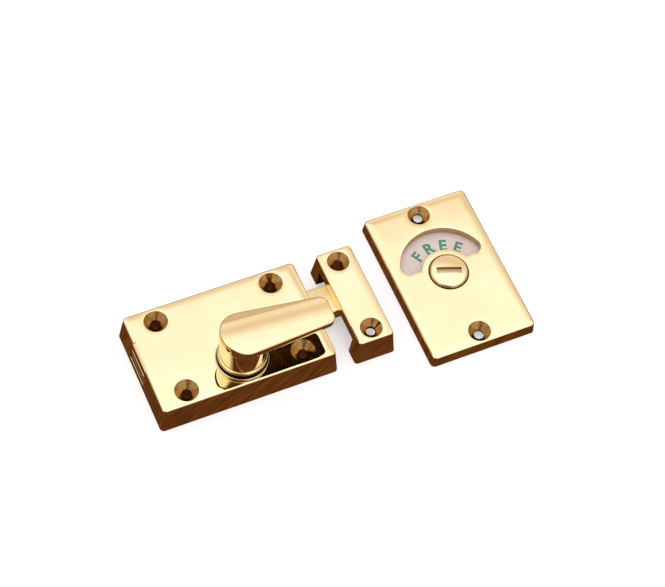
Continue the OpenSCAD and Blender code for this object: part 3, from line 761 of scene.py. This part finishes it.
class CaseOperator(bpy.types.Operator):
    """Model the lock case: a crowned, hollow casting with countersunk screw holes"""
    bl_idname = "indicator_bolt.case"
    bl_label = "Lock case"

    def execute(self, context):
        sizes = context.scene.bolt_casting
        shank = context.scene.bolt_lever
        low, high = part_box("case")
        bolt_low, bolt_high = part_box("bolt")
        bar_near = bolt_high.y - context.scene.bolt_bar.width
        inset = sizes.draft + sizes.edge
        piece = add_casting("lock_case", low, high, sizes.draft, sizes.corner, sizes.edge, sizes.cell)
        coat("mirror_brass", piece)
        press(piece, on_rims(low, high, inset, LONG_SIDES), sizes.crown_drop, sizes.crown_reach)
        press(piece, on_rims(low, high, inset, SIDES), sizes.rim_drop, sizes.rim_reach, 'LINEAR')
        press(piece, on_rims(low, high, inset, ["right"]), sizes.roll_drop, sizes.roll_reach)
        places, hole = screw_places("case_screws")
        dish(piece, places, sizes.case_sink, high.z - OVER, sizes)
        cut(piece, *self.hollow(sizes, low, high, places))
        gap = sizes.slide_gap
        way_box = (Vector((low.x - OVER, bar_near - gap, bolt_low.z - gap)),
                   Vector((high.x + OVER, bolt_high.y + gap, bolt_high.z + gap)))
        way = add_box("way", *way_box)
        # The bolt's way, seen in the case's end, gets the near-black cast finish as painted shade in the recess
        coat("cast_brass_painted_shade", way)
        cut(piece, way)
        self.ease_mouths(piece, sizes, low, high, way_box)
        cut(piece, self.relief(sizes, low, high, way_box))
        countersink(piece, places, hole, sizes.case_sink, high.z - 2.0 * sizes.dish_drop)
        bore = add_rod("bore", LEVER_AXIS, shank.shank + shank.shank_play, -OVER, high.z + OVER)
        seat = pin_seat("guide_pin")
        coat("turned_brass", bore, seat)
        cut(piece, bore, seat)
        finish_piece(piece, "base", "polished_brass", "case")
        return {'FINISHED'}

    def ease_mouths(self, piece, sizes, low, high, way_box):
        """Rounds the edges of the two mouths that the bolt passes through."""
        def at_mouth(point):
            inside_way = all(way_box[0][axis] - WELD < point.co[axis] < way_box[1][axis] + WELD
                             for axis in (1, 2))
            return inside_way and not low.x + sizes.draft < point.co.x < high.x - sizes.draft
        edit(piece)
        pick(piece, 'EDGE', lambda line: all(at_mouth(point) for point in line.verts))
        bpy.ops.mesh.bevel(offset=sizes.mouth, segments=3, material=0)
        start()

    def relief(self, sizes, low, high, way_box):
        """The cutter of the sloping relief in the case's edge over the bolt's tail."""
        edge = Vector((low.x + sizes.draft, 0.0, high.z - sizes.relief_drop))
        tool = add_box("relief", (-OVER, way_box[0].y, 0.0), (2.0 * sizes.relief_width, way_box[1].y, OVER))
        slope = math.atan2(sizes.relief_drop, sizes.relief_width)
        tool.data.transform(Matrix.Translation(edge) @ Matrix.Rotation(-slope, 4, 'Y'))
        coat("mirror_brass", tool)
        return tool

    def hollow(self, sizes, low, high, places):
        """The cutters of the hollow round its pillars and bosses, of the rebate, and of the bosses' holes."""
        plate_low, plate_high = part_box("back_plate")
        wall = Vector((sizes.wall, sizes.wall, 0.0))
        ceiling = high.z - sizes.face
        hollow = add_box("hollow", low + wall - Vector((0, 0, OVER)), Vector((*(high - wall).xy, ceiling)))
        bosses = [(LEVER_AXIS.x, sizes.boss_side), (LEVER_AXIS.x - sizes.boss_out, -sizes.boss_side),
                  (LEVER_AXIS.x + sizes.boss_out, -sizes.boss_side)]
        cut(hollow, *[add_rod("pillar", place, sizes.pillar, low.z - 2 * OVER, high.z) for place in places])
        cut(hollow, *[add_rod("boss", place, sizes.boss, low.z - 2 * OVER, high.z) for place in bosses])
        play = Vector((sizes.slide_gap, sizes.slide_gap, 0.0)) / 2.0
        rebate = add_box("rebate", plate_low - play - Vector((0, 0, OVER)), plate_high + play)
        screw_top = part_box("back_plate_screws")[1].z
        holes = [add_rod("hole", place, sizes.boss_hole, low.z, screw_top) for place in bosses]
        # The hollow, rebate and boss holes get the near-black cast finish as painted shade inside the case
        coat("cast_brass_painted_shade", hollow, rebate, *holes)
        return hollow, rebate, *holes


class KeepOperator(bpy.types.Operator):
    """Model the keep: a cast bridge on two feet"""
    bl_idname = "indicator_bolt.keep"
    bl_label = "Keep"

    def execute(self, context):
        sizes = context.scene.bolt_casting
        low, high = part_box("keep")
        inset = sizes.draft + sizes.edge
        piece = add_casting("keep_bridge", low, high, sizes.draft, sizes.keep_corner, sizes.edge, sizes.cell)
        coat("mirror_brass", piece)
        press(piece, on_rims(low, high, inset, LONG_SIDES), sizes.keep_crown, sizes.crown_reach)
        press(piece, on_rims(low, high, inset, ["right"]), sizes.keep_roll, sizes.roll_reach)
        places, hole = screw_places("keep_screws")
        dish(piece, places, sizes.keep_sink, high.z - OVER, sizes)
        way = add_box("way", (low.x - OVER, low.y + sizes.keep_foot, low.z - OVER),
                      (high.x + OVER, high.y - sizes.keep_foot, sizes.keep_under))
        # The keep's opening under its bridge gets the near-black cast finish as painted shade
        coat("cast_brass_painted_shade", way)
        cut(piece, way)
        countersink(piece, places, hole, sizes.keep_sink, high.z - sizes.dish_drop)
        finish_piece(piece, "base", "polished_brass", "keep")
        return {'FINISHED'}


class BoltOperator(bpy.types.Operator):
    """Model the bolt bar with its driving lug and its slots"""
    bl_idname = "indicator_bolt.bolt"
    bl_label = "Bolt"

    def execute(self, context):
        sizes = context.scene.bolt_bar
        low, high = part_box("bolt")
        near = high.y - sizes.width
        piece = add_box("bolt_bar", (low.x, near, low.z), high)
        coat("satin_brass", piece)
        edit(piece)
        pick(piece, 'EDGE', lambda line: all(point.co.x > high.x - WELD for point in line.verts)
             and abs(line.verts[0].co.z - line.verts[1].co.z) > WELD)
        bpy.ops.mesh.bevel(offset=sizes.nose, segments=1)
        bpy.ops.mesh.select_all(action='SELECT')
        bpy.ops.mesh.bevel(offset=sizes.edge, segments=3)
        pin = centre_of("drive_pin")
        lug = add_box("lug", (pin.x - sizes.lug_half, low.y, low.z + sizes.edge),
                      (pin.x + sizes.lug_half, (near + high.y) / 2.0, low.z + sizes.lug_height))
        fuse(piece, lug)
        bottom = low.z - OVER
        top = high.z + OVER
        reach = LEVER_AXIS.y + math.dist(pin.xy, LEVER_AXIS.xy)
        half = sizes.drive_half
        cut(piece, add_box("drive", (pin.x - half, low.y - OVER, bottom), (pin.x + half, reach, top)),
            add_rod("drive_end", (pin.x, reach), half, bottom, top))
        guide = centre_of("guide_pin")
        half = sizes.guide_half
        ends = (guide.x, guide.x + JOINTS["bolt_slide"]["range_m"][1])
        cut(piece, add_box("guide", (ends[0], guide.y - half, bottom), (ends[1], guide.y + half, top)),
            *[add_rod("guide_end", (x, guide.y), half, bottom, top) for x in ends])
        finish_piece(piece, "bolt", "polished_brass", "bolt")
        return {'FINISHED'}


class LeverOperator(bpy.types.Operator):
    """Model the lever: a crowned, sloping blade on a barrel with a flatted shank"""
    bl_idname = "indicator_bolt.lever"
    bl_label = "Lever"

    def execute(self, context):
        sizes = context.scene.bolt_lever
        piece = self.blade(sizes)
        coat("mirror_brass", piece)
        fuse(piece, self.barrel(sizes), self.shank(sizes))
        cut(piece, spindle_socket(LEVER_AXIS, sizes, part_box("lever_collar")[0].z))
        # The blade's underside and the neck take the near-black cast finish: unpolished brass, with painted shade
        # in its colour
        refinish(piece, "cast_brass_painted_shade", self.unbuffed_painted_shade_faces(sizes))
        finish_piece(piece, "lever", "polished_brass", "lever")
        return {'FINISHED'}

    def unbuffed_painted_shade_faces(self, sizes):
        """A test for the faces that no buff reaches: under the blade and round the neck; they get the near-black
        cast finish, which paints in their shade.
        """
        def test(face):
            middle = face.calc_center_median()
            if sizes.neck_start - WELD < middle.z < sizes.barrel_start + WELD:
                return math.dist(middle.xy, LEVER_AXIS.xy) > sizes.shank
            return face.normal.z < UNDER and middle.z > sizes.height / 2.0
        return test

    def outline(self, sizes):
        """Plan of the blade: a round wide end drawn in to a rounded tip."""
        root = (LEVER_AXIS.x + sizes.root_ahead, LEVER_AXIS.y)
        tip = (LEVER_AXIS.x + sizes.reach - sizes.tip_corner, sizes.tip_half - sizes.tip_corner)
        run = math.hypot(tip[0] - root[0], tip[1])
        side = math.atan2(tip[1], tip[0] - root[0]) + math.acos((sizes.root - sizes.tip_corner) / run)
        far = (tip[0], LEVER_AXIS.y + tip[1])
        near = (tip[0], LEVER_AXIS.y - tip[1])
        points = arc(root, sizes.root, side, math.tau - side, steps=64)
        points += arc(near, sizes.tip_corner, -side, 0.0, steps=10)
        return points + arc(far, sizes.tip_corner, 0.0, side, steps=10)

    def blade(self, sizes):
        """The blade, crowned by a soft pull on its spine and then tilted."""
        drop = sizes.root ** 2 / (2.0 * sizes.crown)
        deep = 3.0 * sizes.thick
        piece = add_slab("lever_handle", self.outline(sizes), -drop - deep, -drop)
        edit(piece)
        pick(piece, 'EDGE', lambda line: all(point.co.z > -drop - WELD for point in line.verts))
        bpy.ops.mesh.bevel(offset=sizes.edge, segments=5)
        score(piece, lambda face: face.normal.z > LEVEL and face.calc_center_median().z > -drop - WELD,
              sizes.cell)
        edit(piece)
        pick(piece, 'VERT', lambda point: abs(point.co.y - LEVER_AXIS.y) < WELD and point.co.z > -drop - WELD)
        bpy.ops.transform.translate(value=(0.0, 0.0, drop), use_proportional_edit=True,
                                    proportional_edit_falloff='INVERSE_SQUARE', proportional_size=sizes.root)
        start()
        piece.data.transform(Matrix.Translation((0.0, 0.0, sizes.height)))
        centre = Vector((LEVER_AXIS.x, LEVER_AXIS.y, sizes.height))
        tilt = Matrix.Translation(centre) @ Matrix.Rotation(sizes.slope, 4, 'Y') @ Matrix.Translation(-centre)
        piece.data.transform(tilt)
        edit(piece)
        bpy.ops.mesh.select_all(action='SELECT')
        normal = Vector((math.sin(sizes.under_slope), 0.0, math.cos(sizes.under_slope)))
        bpy.ops.mesh.bisect(plane_co=centre - Vector((0.0, 0.0, sizes.thick)), plane_no=normal, use_fill=True,
                            clear_inner=True, threshold=WELD)
        pick(piece, 'EDGE', lambda line: any(face.normal.z < UNDER for face in line.link_faces))
        bpy.ops.mesh.bevel(offset=sizes.under_edge, segments=3)
        close_up(piece)
        return piece

    def barrel(self, sizes):
        """The tall barrel between the collar and the blade, on its narrower neck."""
        foot = sizes.barrel_start
        bead = sizes.bead
        neck = [(0.0, sizes.neck_start), (sizes.neck, sizes.neck_start), (sizes.neck, foot)]
        rounding = arc((sizes.barrel_foot, foot + bead), bead, -math.pi / 2.0, math.pi / 2.0, steps=10)
        return add_turned("barrel", LEVER_AXIS, [*neck, *rounding, (sizes.barrel_top, sizes.barrel_end),
                                                 (0.0, sizes.barrel_end)])

    def shank(self, sizes):
        """The shank below the barrel, grooved for its clips and flatted for the follower."""
        profile = [(0.0, sizes.shank_start), (sizes.shank, sizes.shank_start)]
        profile += groove("follower_clip", sizes) + groove("lever_clip", sizes)
        top = sizes.neck_start + OVER
        shank = add_turned("shank", LEVER_AXIS, profile + [(sizes.shank, top), (0.0, top)])
        cut(shank, *shank_flats(LEVER_AXIS, sizes, sizes.flats_to))
        return shank


class CollarOperator(bpy.types.Operator):
    """Model the thin ring under the lever's barrel"""
    bl_idname = "indicator_bolt.collar"
    bl_label = "Lever collar"

    def execute(self, context):
        sizes = context.scene.bolt_lever
        low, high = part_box("lever_collar")
        radius = (high.x - low.x) / 2.0
        bore = sizes.shank + sizes.collar_play
        edge = sizes.collar_edge
        rounding = arc((radius - edge, high.z - edge), edge, 0.0, math.pi / 2.0, steps=5)
        profile = [(bore, low.z), (radius, low.z), *rounding, (bore, high.z), (bore, low.z)]
        piece = add_turned("collar_ring", LEVER_AXIS, profile)
        coat("mirror_brass", piece)
        # The collar's top, under the barrel, gets the near-black cast finish as painted shade
        refinish(piece, "cast_brass_painted_shade", lambda face: face.normal.z > LEVEL)
        finish_piece(piece, "base", "polished_brass", "lever_collar")
        return {'FINISHED'}


class PlateOperator(bpy.types.Operator):
    """Model the indicator plate with its arched window and its rolled edge"""
    bl_idname = "indicator_bolt.plate"
    bl_label = "Indicator plate"

    def execute(self, context):
        sizes = context.scene.bolt_plate
        shank = context.scene.bolt_lever
        low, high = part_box("indicator_plate")
        inset = sizes.draft + sizes.edge
        piece = add_casting("face_plate", low, high, sizes.draft, sizes.corner, sizes.edge, sizes.cell)
        coat("mirror_brass", piece)
        places, hole = screw_places("plate_screws")
        press(piece, on_rims(low, high, inset, LONG_SIDES), sizes.crown_drop, sizes.crown_reach)
        press(piece, on_rims(low, high, inset, SIDES), sizes.roll_drop, sizes.roll_reach)
        deep = high.z - OVER
        dish(piece, places, sizes.sink, deep, sizes)
        press(piece, self.in_window(sizes, deep), sizes.dish_drop, sizes.dish_reach)
        countersink(piece, places, hole, sizes.sink, high.z - sizes.dish_drop)
        wells = [add_rod("well", place, sizes.well, low.z - OVER, sizes.well_depth) for place in places]
        pocket = add_rod("pocket", DIAL_AXIS, sizes.pocket, low.z - OVER, sizes.pocket_depth)
        window = add_slab("window", self.window_outline(sizes), low.z, high.z + OVER)
        bore = add_rod("bore", DIAL_AXIS, shank.shank + shank.shank_play, low.z, high.z + OVER)
        seat = add_rod("seat", DIAL_AXIS, sizes.seat, sizes.seat_height, high.z + OVER)
        stop = pin_seat("dial_stop_pin")
        # The pocket, the seat and the wells get the near-black cast finish as painted shade in these recesses
        coat("cast_brass_painted_shade", pocket, seat, *wells)
        coat("turned_brass", bore, stop)
        coat("rolled_brass", window)
        cut(piece, *wells, pocket, window, bore, seat, stop)
        finish_piece(piece, "base", "polished_brass", "indicator_plate")
        return {'FINISHED'}

    def window_end(self, sizes):
        """Middle of the window's right round end, from the dial's axis."""
        rise = sizes.window_foot + sizes.window_end
        return math.sqrt((sizes.window - sizes.window_end) ** 2 - (rise - sizes.window_up) ** 2), rise

    def in_window(self, sizes, above):
        """A test for the points of the face that the window takes away."""
        end_x, end_y = self.window_end(sizes)

        def test(point):
            x, y = point.co.xy - DIAL_AXIS.xy
            if point.co.z < above or y < sizes.window_foot or math.hypot(x, y) < sizes.window_inner:
                return False
            if y < end_y and abs(x) > end_x:
                return math.dist((abs(x), y), (end_x, end_y)) < sizes.window_end
            return math.dist((x, y), (0.0, sizes.window_up)) < sizes.window
        return test

    def window_outline(self, sizes):
        """Plan of the arched window, with round ends and a level foot."""
        end_x, end_y = self.window_end(sizes)
        lift = math.atan2(end_y - sizes.window_up, end_x)
        corner = sizes.window_corner
        corner_y = sizes.window_foot + corner
        corner_x = math.sqrt((sizes.window_inner + corner) ** 2 - corner_y ** 2)
        foot = math.atan2(corner_y, corner_x)
        points = arc((end_x, end_y), sizes.window_end, -math.pi / 2.0, lift, steps=16)
        points += arc((0.0, sizes.window_up), sizes.window, lift, math.pi - lift, steps=64)[1:]
        points += arc((-end_x, end_y), sizes.window_end, math.pi - lift, 1.5 * math.pi, steps=16)[1:]
        points += arc((-corner_x, corner_y), corner, -math.pi / 2.0, -foot, steps=8)
        points += arc((0.0, 0.0), sizes.window_inner, math.pi - foot, foot, steps=48)[1:]
        points += arc((corner_x, corner_y), corner, math.pi + foot, 1.5 * math.pi, steps=8)[1:]
        return [(DIAL_AXIS.x + x, DIAL_AXIS.y + y) for x, y in points]


class ReleaseOperator(bpy.types.Operator):
    """Model the coin release: a low domed head with a slot, on a flatted shank"""
    bl_idname = "indicator_bolt.release"
    bl_label = "Coin release"

    def execute(self, context):
        sizes = context.scene.bolt_plate
        shank = context.scene.bolt_lever
        low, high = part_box("release_disc")
        crown = sizes.head - sizes.head_round
        edge_top = high.z - sizes.head_dome
        head_low = sizes.seat_height + shank.shank_play
        rings = [step / DOME_RINGS for step in range(DOME_RINGS - 1, 0, -1)]
        dome = [(crown * ring, high.z - sizes.head_dome * ring ** 2) for ring in rings]
        rounding = arc((crown, edge_top - sizes.head_round), sizes.head_round, 0.0, math.pi / 2.0, steps=7)
        profile = [(0.0, low.z), (shank.shank, low.z), *groove("dial_clip", shank), (shank.shank, head_low),
                   (sizes.head, head_low), *rounding, *dome, (0.0, high.z)]
        piece = add_turned("coin_release", DIAL_AXIS, profile)
        coat("mirror_brass", piece)
        cut(piece, *shank_flats(DIAL_AXIS, shank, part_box("dial")[1].z + shank.shank_play))
        floor = high.z - sizes.coin_depth
        cut(piece, spindle_socket(DIAL_AXIS, shank, floor - sizes.coin_floor))
        slot = add_box("slot", (-sizes.coin_length / 2.0, -sizes.coin_width / 2.0, floor),
                       (sizes.coin_length / 2.0, sizes.coin_width / 2.0, high.z + OVER))
        coat("rolled_brass", slot)
        turn = Matrix.Rotation(sizes.coin_angle, 4, 'Z')
        slot.data.transform(Matrix.Translation((*DIAL_AXIS.xy, 0.0)) @ turn)
        cut(piece, slot)
        finish_piece(piece, "release", "polished_brass", "release_disc")
        return {'FINISHED'}


class DialOperator(bpy.types.Operator):
    """Finish the dial and print its two state words"""
    bl_idname = "indicator_bolt.dial"
    bl_label = "Dial and words"

    def execute(self, context):
        sizes = context.scene.bolt_plate
        dress("dial", "stove_enamel")
        upright = math.pi / 2.0 - sizes.word_lean
        self.word("free_word", sizes.free_word, upright, sizes, "free_ink")
        self.word("busy_word", sizes.busy_word, upright - DIAL_TURN, sizes, "busy_ink")
        return {'FINISHED'}

    def word(self, name, text, middle, sizes, ink):
        """A word bent round the dial, made of separate letters."""
        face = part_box("dial")[1].z
        letters = []
        for index, sign in enumerate(text):
            turn = middle - (index - (len(text) - 1) / 2.0) * sizes.letter_step
            letters.append(self.letter(sign, turn, face, sizes))
        take(letters[0])
        for letter in letters:
            letter.select_set(True)
        bpy.ops.object.join()
        piece = settle(name)
        coat(ink, piece)
        finish_piece(piece, "release", "dial_enamel")

    def letter(self, sign, turn, face, sizes):
        """One letter, stood upright on the dial's circle."""
        start()
        bpy.ops.object.text_add()
        text = bpy.context.object
        text.data.body = sign
        text.data.align_x = 'CENTER'
        text.data.extrude = sizes.letter_thick / 2.0
        text.data.offset = sizes.letter * STROKE
        text.data.size = sizes.letter / CAPITALS
        bpy.ops.object.convert(target='MESH')
        text = bpy.context.object
        place = DIAL_AXIS.xy + sizes.letter_foot * Vector((math.cos(turn), math.sin(turn)))
        text.data.transform(Matrix.Translation((*place, face + sizes.letter_thick / 2.0))
                            @ Matrix.Rotation(turn - math.pi / 2.0, 4, 'Z'))
        return text


def dress(node, finish):
    """Gives a carried-over node its finish."""
    frame["nodes"][node].data.materials.clear()
    coat(finish, frame["nodes"][node])


class WorksOperator(bpy.types.Operator):
    """Finish the inner works: back plate, follower, pins, clips, washers and spring"""
    bl_idname = "indicator_bolt.works"
    bl_label = "Inner works"

    def execute(self, context):
        for node in ("back_plate", "follower", "lever_washer"):
            dress(node, "rolled_brass")
        for node in ("back_plate_screws", "guide_pin", "friction_spring", "drive_pin", "follower_clip",
                     "lever_clip", "dial_washer", "dial_clip", "dial_stop_pin"):
            dress(node, "drawn_steel")
        return {'FINISHED'}


class StageOperator(bpy.types.Operator):
    """Set up the pale floor, the soft light and the camera"""
    bl_idname = "indicator_bolt.stage"
    bl_label = "Stage"

    def execute(self, context):
        stage = context.scene.bolt_stage
        self.floor(stage)
        self.card(stage)
        self.sky(context, stage)
        self.camera(context, stage)
        context.scene.view_settings.view_transform = 'Standard'
        return {'FINISHED'}

    def floor(self, stage):
        """The pale floor under the backs of the castings."""
        start()
        bpy.ops.mesh.primitive_plane_add(size=FLOOR_SIDE, location=(0.0, 0.0, -FLOOR_DROP))
        floor = settle("floor")
        made = new_material("floor")
        tree = made.node_tree
        tone = mottled(tree, noise(tree, scale=8.0), stage.floor, shade=0.985)
        close_material(made, {"Base Color": tone, "Roughness": 0.8, "Specular IOR Level": 0.1,
                              "Emission Color": (1.0, 1.0, 1.0, 1.0), "Emission Strength": stage.floor_glow})
        floor.data.materials.append(made)

    def card(self, stage):
        """A warm, streaked card over the floor that only mirrors see."""
        start()
        bpy.ops.mesh.primitive_plane_add(size=CARD_SIDE, location=(0.0, 0.0, -CARD_DROP))
        card = settle("table_card")
        made = new_material("table_card")
        tree = made.node_tree
        streaks = noise(tree, scale=600.0, detail=4.0, stretch=(9.0, 1.0, 1.0), turn=stage.azimuth)
        tone = ramp(tree, streaks, (0.3, shaded(stage.card, 0.65)), (0.5, stage.card),
                    (0.7, shaded(stage.card, 1.45)))
        # The card glows with a fixed dim brown light instead of being lit: a painted reflection of a table, seen
        # only in the brass
        glow = put(tree, 'ShaderNodeEmission', sockets={"Color": tone})
        put(tree, 'ShaderNodeOutputMaterial', sockets={"Surface": glow.outputs["Emission"]})
        card.data.materials.append(made)
        card.visible_camera = False
        card.visible_diffuse = False
        card.visible_transmission = False
        card.visible_shadow = False

    def sky(self, context, stage):
        """Soft light that grows from a dim horizon to a bright ceiling, with a dim flag round the camera."""
        world = bpy.data.worlds.new("studio")
        world.use_nodes = True
        tree = world.node_tree
        tree.nodes.clear()
        way = put(tree, 'ShaderNodeTexCoord').outputs["Generated"]
        height = put(tree, 'ShaderNodeSeparateXYZ', sockets={"Vector": way}).outputs["Z"]
        stops = [(math.sin(math.radians(degrees)), getattr(stage, name)) for name, degrees in SKY]
        light = ramp(tree, height, *stops)
        side = self.camera_side(stage)
        level = Vector((side.x, side.y, 0.0)).normalized()
        room = level * math.cos(stage.room_height) + Vector((0.0, 0.0, math.sin(stage.room_height)))
        light = self.dim(tree, way, room, stage.room_outer, stage.room_inner, light, stage.room)
        light = self.dim(tree, way, side, stage.flag_outer, stage.flag_inner, light, stage.flag)
        back = put(tree, 'ShaderNodeBackground', sockets={"Color": light})
        put(tree, 'ShaderNodeOutputWorld', sockets={"Surface": back.outputs["Background"]})
        context.scene.world = world

    def dim(self, tree, way, side, outer, inner, light, shade):
        """Light that mirrors see shaded round one side."""
        near = put(tree, 'ShaderNodeVectorMath', {"operation": 'DOT_PRODUCT'}, {0: way, 1: side})
        share = spread(tree, near.outputs["Value"], low=0.0, high=1.0, first=math.cos(outer),
                       last=math.cos(inner))
        mirrored = put(tree, 'ShaderNodeLightPath').outputs["Is Glossy Ray"]
        seen = put(tree, 'ShaderNodeMath', {"operation": 'MULTIPLY'}, {0: share, 1: mirrored})
        mixed = put(tree, 'ShaderNodeMix', {"data_type": 'RGBA'},
                    {0: seen.outputs["Value"], 6: light, 7: (*shade, 1.0)})
        return mixed.outputs[2]

    def camera_side(self, stage):
        """Direction from the object to the camera."""
        level = Vector((math.sin(stage.azimuth), -math.cos(stage.azimuth), 0.0)) * math.cos(stage.elevation)
        return level + Vector((0.0, 0.0, math.sin(stage.elevation)))

    def camera(self, context, stage):
        """The camera, turned about its line of sight as the view asks."""
        back = self.camera_side(stage)
        right = Vector((math.cos(stage.azimuth), math.sin(stage.azimuth), 0.0))
        basis = Matrix((right, back.cross(right), back)).transposed() @ Matrix.Rotation(stage.roll, 3, 'Z')
        eye = Vector(stage.look_at) + stage.distance * back
        start()
        bpy.ops.object.camera_add(location=eye, rotation=basis.to_euler())
        camera = bpy.context.object
        camera.name = "camera"
        camera.data.lens = stage.lens
        camera.data.sensor_width = SENSOR
        camera.data.clip_start = NEAREST
        context.scene.camera = camera


class BoltPanel(bpy.types.Panel):
    """Lists the pieces of the indicator bolt"""
    bl_idname = "VIEW3D_PT_indicator_bolt"
    bl_label = "Indicator Bolt"
    bl_space_type = 'VIEW_3D'
    bl_region_type = 'UI'
    bl_category = "Indicator Bolt"

    def draw(self, context):
        for operator in OPERATORS:
            self.layout.operator(operator.bl_idname)


SETTINGS = {
    "bolt_casting": CastingSettings,
    "bolt_bar": BoltSettings,
    "bolt_lever": LeverSettings,
    "bolt_plate": PlateSettings,
    "bolt_finish": FinishSettings,
    "bolt_stage": StageSettings,
}
OPERATORS = (CaseOperator, KeepOperator, BoltOperator, LeverOperator, CollarOperator, PlateOperator,
             ReleaseOperator, DialOperator, WorksOperator, StageOperator)


def register():
    for kind in (*SETTINGS.values(), *OPERATORS, BoltPanel):
        bpy.utils.register_class(kind)
    for name, group in SETTINGS.items():
        setattr(bpy.types.Scene, name, PointerProperty(type=group))


def unregister():
    for name in SETTINGS:
        delattr(bpy.types.Scene, name)
    for kind in (BoltPanel, *reversed(OPERATORS), *reversed(SETTINGS.values())):
        bpy.utils.unregister_class(kind)


def main():
    register()
    for operator in OPERATORS:
        group, name = operator.bl_idname.split(".")
        getattr(getattr(bpy.ops, group), name)()
    start()


if __name__ == "__main__":
    main()
